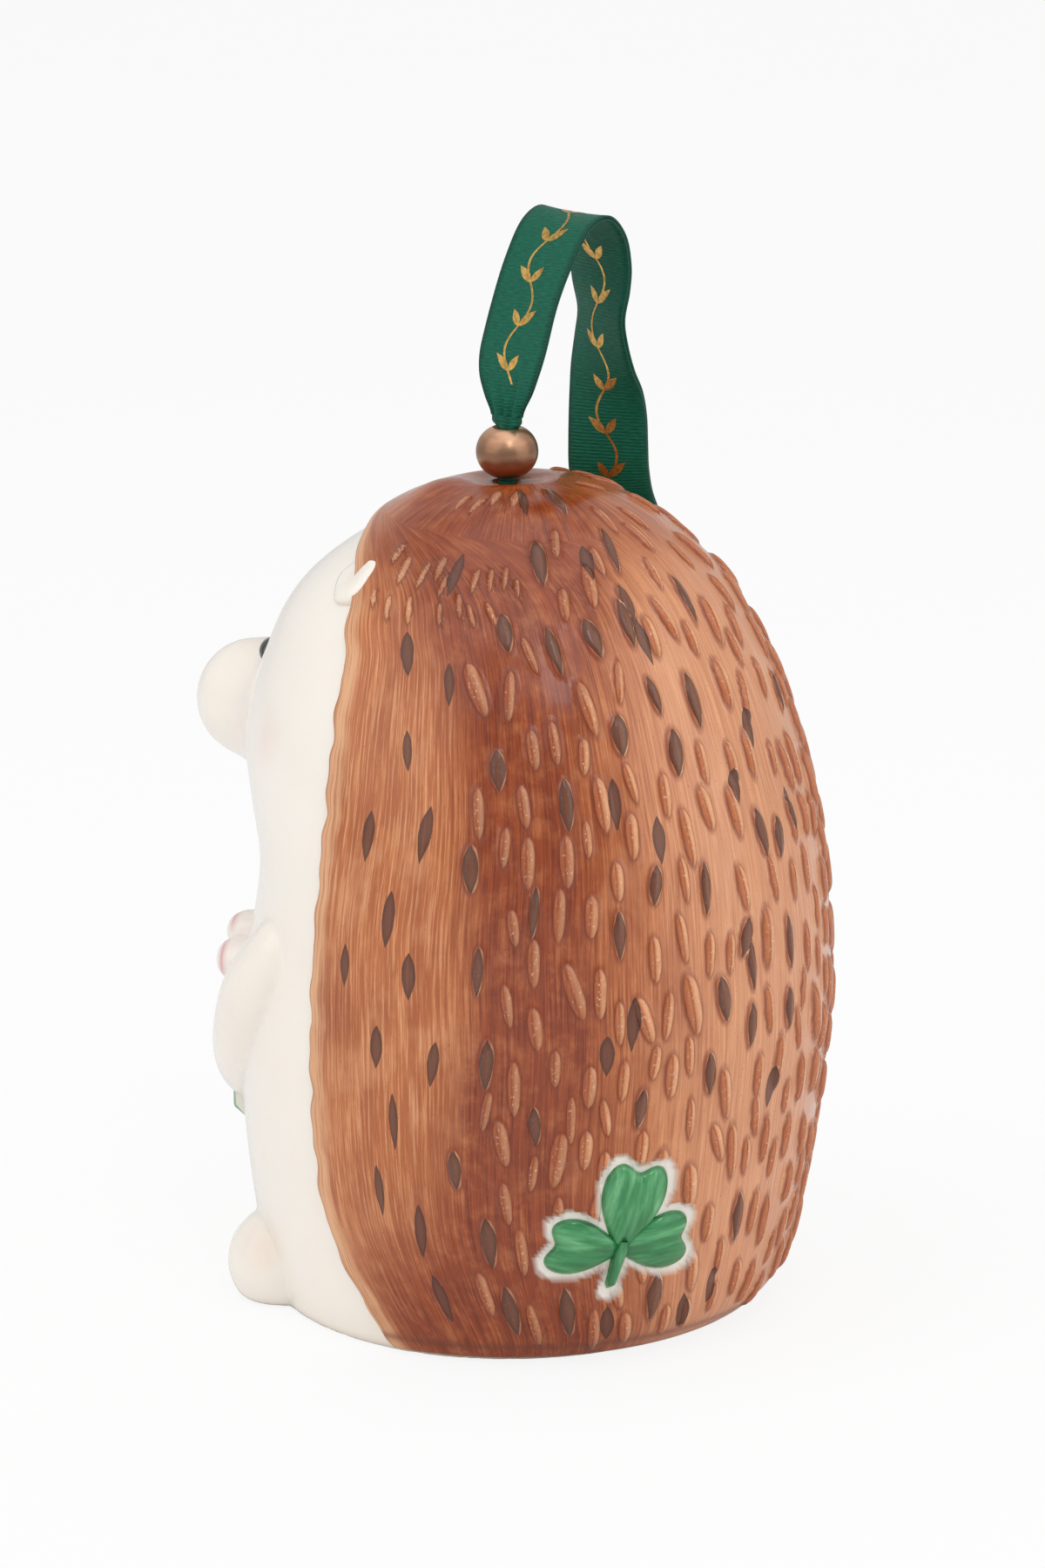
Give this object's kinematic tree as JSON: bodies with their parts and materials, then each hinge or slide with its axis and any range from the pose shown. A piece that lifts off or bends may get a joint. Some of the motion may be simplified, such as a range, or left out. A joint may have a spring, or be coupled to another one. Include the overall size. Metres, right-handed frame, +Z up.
{
  "type": "hedgehog bell figurine",
  "caption": "Hollow ceramic hedgehog bell with a relief coat of quills, a shamrock sprig, a metal bead, a ribbon loop to hang it by and a swinging clapper.",
  "frame": {"origin": "middle of the object's box in plan, on the plane that the rim stands on", "axes": "+Z up along the bell axis, -Y the way the hedgehog faces, +X its left flank"},
  "size_m": [0.0688, 0.0868, 0.1317],
  "materials": {
    "white_glaze": "clear gloss glaze over warm white porcelain",
    "brown_glaze": "brushed brown under clear gloss glaze",
    "dark_glaze": "gloss black-brown overglaze",
    "flower_glaze": "white glaze with pink brushed edges",
    "green_glaze": "brushed leaf green under gloss glaze",
    "copper": "polished copper-coloured metal",
    "satin_ribbon": "woven satin",
    "steel_wire": "bright wire",
    "clapper_glaze": "gloss glaze"
  },
  "bodies": {
    "ceramic_bell": {"bell_shell": "white_glaze", "spiny_coat": "brown_glaze", "snout": "white_glaze", "nose_tip": "dark_glaze", "left_eye": "dark_glaze", "right_eye": "dark_glaze", "left_ear": "white_glaze", "right_ear": "white_glaze", "left_arm": "white_glaze", "right_arm": "white_glaze", "left_foot": "white_glaze", "right_foot": "white_glaze", "flower_head": "flower_glaze", "flower_leaves": "green_glaze", "shamrock_sprig": "green_glaze", "ribbon_neck": "satin_ribbon", "ribbon_knot": "satin_ribbon"},
    "bead": {"top_bead": "copper"},
    "ribbon": {"ribbon_loop": "satin_ribbon"},
    "link": {"clapper_link": "steel_wire"},
    "clapper": {"clapper_wire": "steel_wire", "clapper_ball": "clapper_glaze"}
  },
  "joints": [
    {"name": "bead_spin", "type": "hinge", "parent": "ceramic_bell", "child": "bead", "pos_m": [0, 0.00225, 0.10385], "axis": [0, 0, 1], "continuous": true},
    {"name": "ribbon_swing", "type": "hinge", "parent": "ceramic_bell", "child": "ribbon", "pos_m": [0, 0.00225, 0.1081], "axis": [0, 1, 0], "range_deg": [0, 60]},
    {"name": "link_swing", "type": "hinge", "parent": "ceramic_bell", "child": "link", "pos_m": [0, 0.00225, 0.0879], "axis": [0, 1, 0], "range_deg": [-13, 13]},
    {"name": "clapper_swing", "type": "hinge", "parent": "link", "child": "clapper", "pos_m": [0, 0.00225, 0.08492], "axis": [1, 0, 0], "range_deg": [-13, 13]}
  ]
}
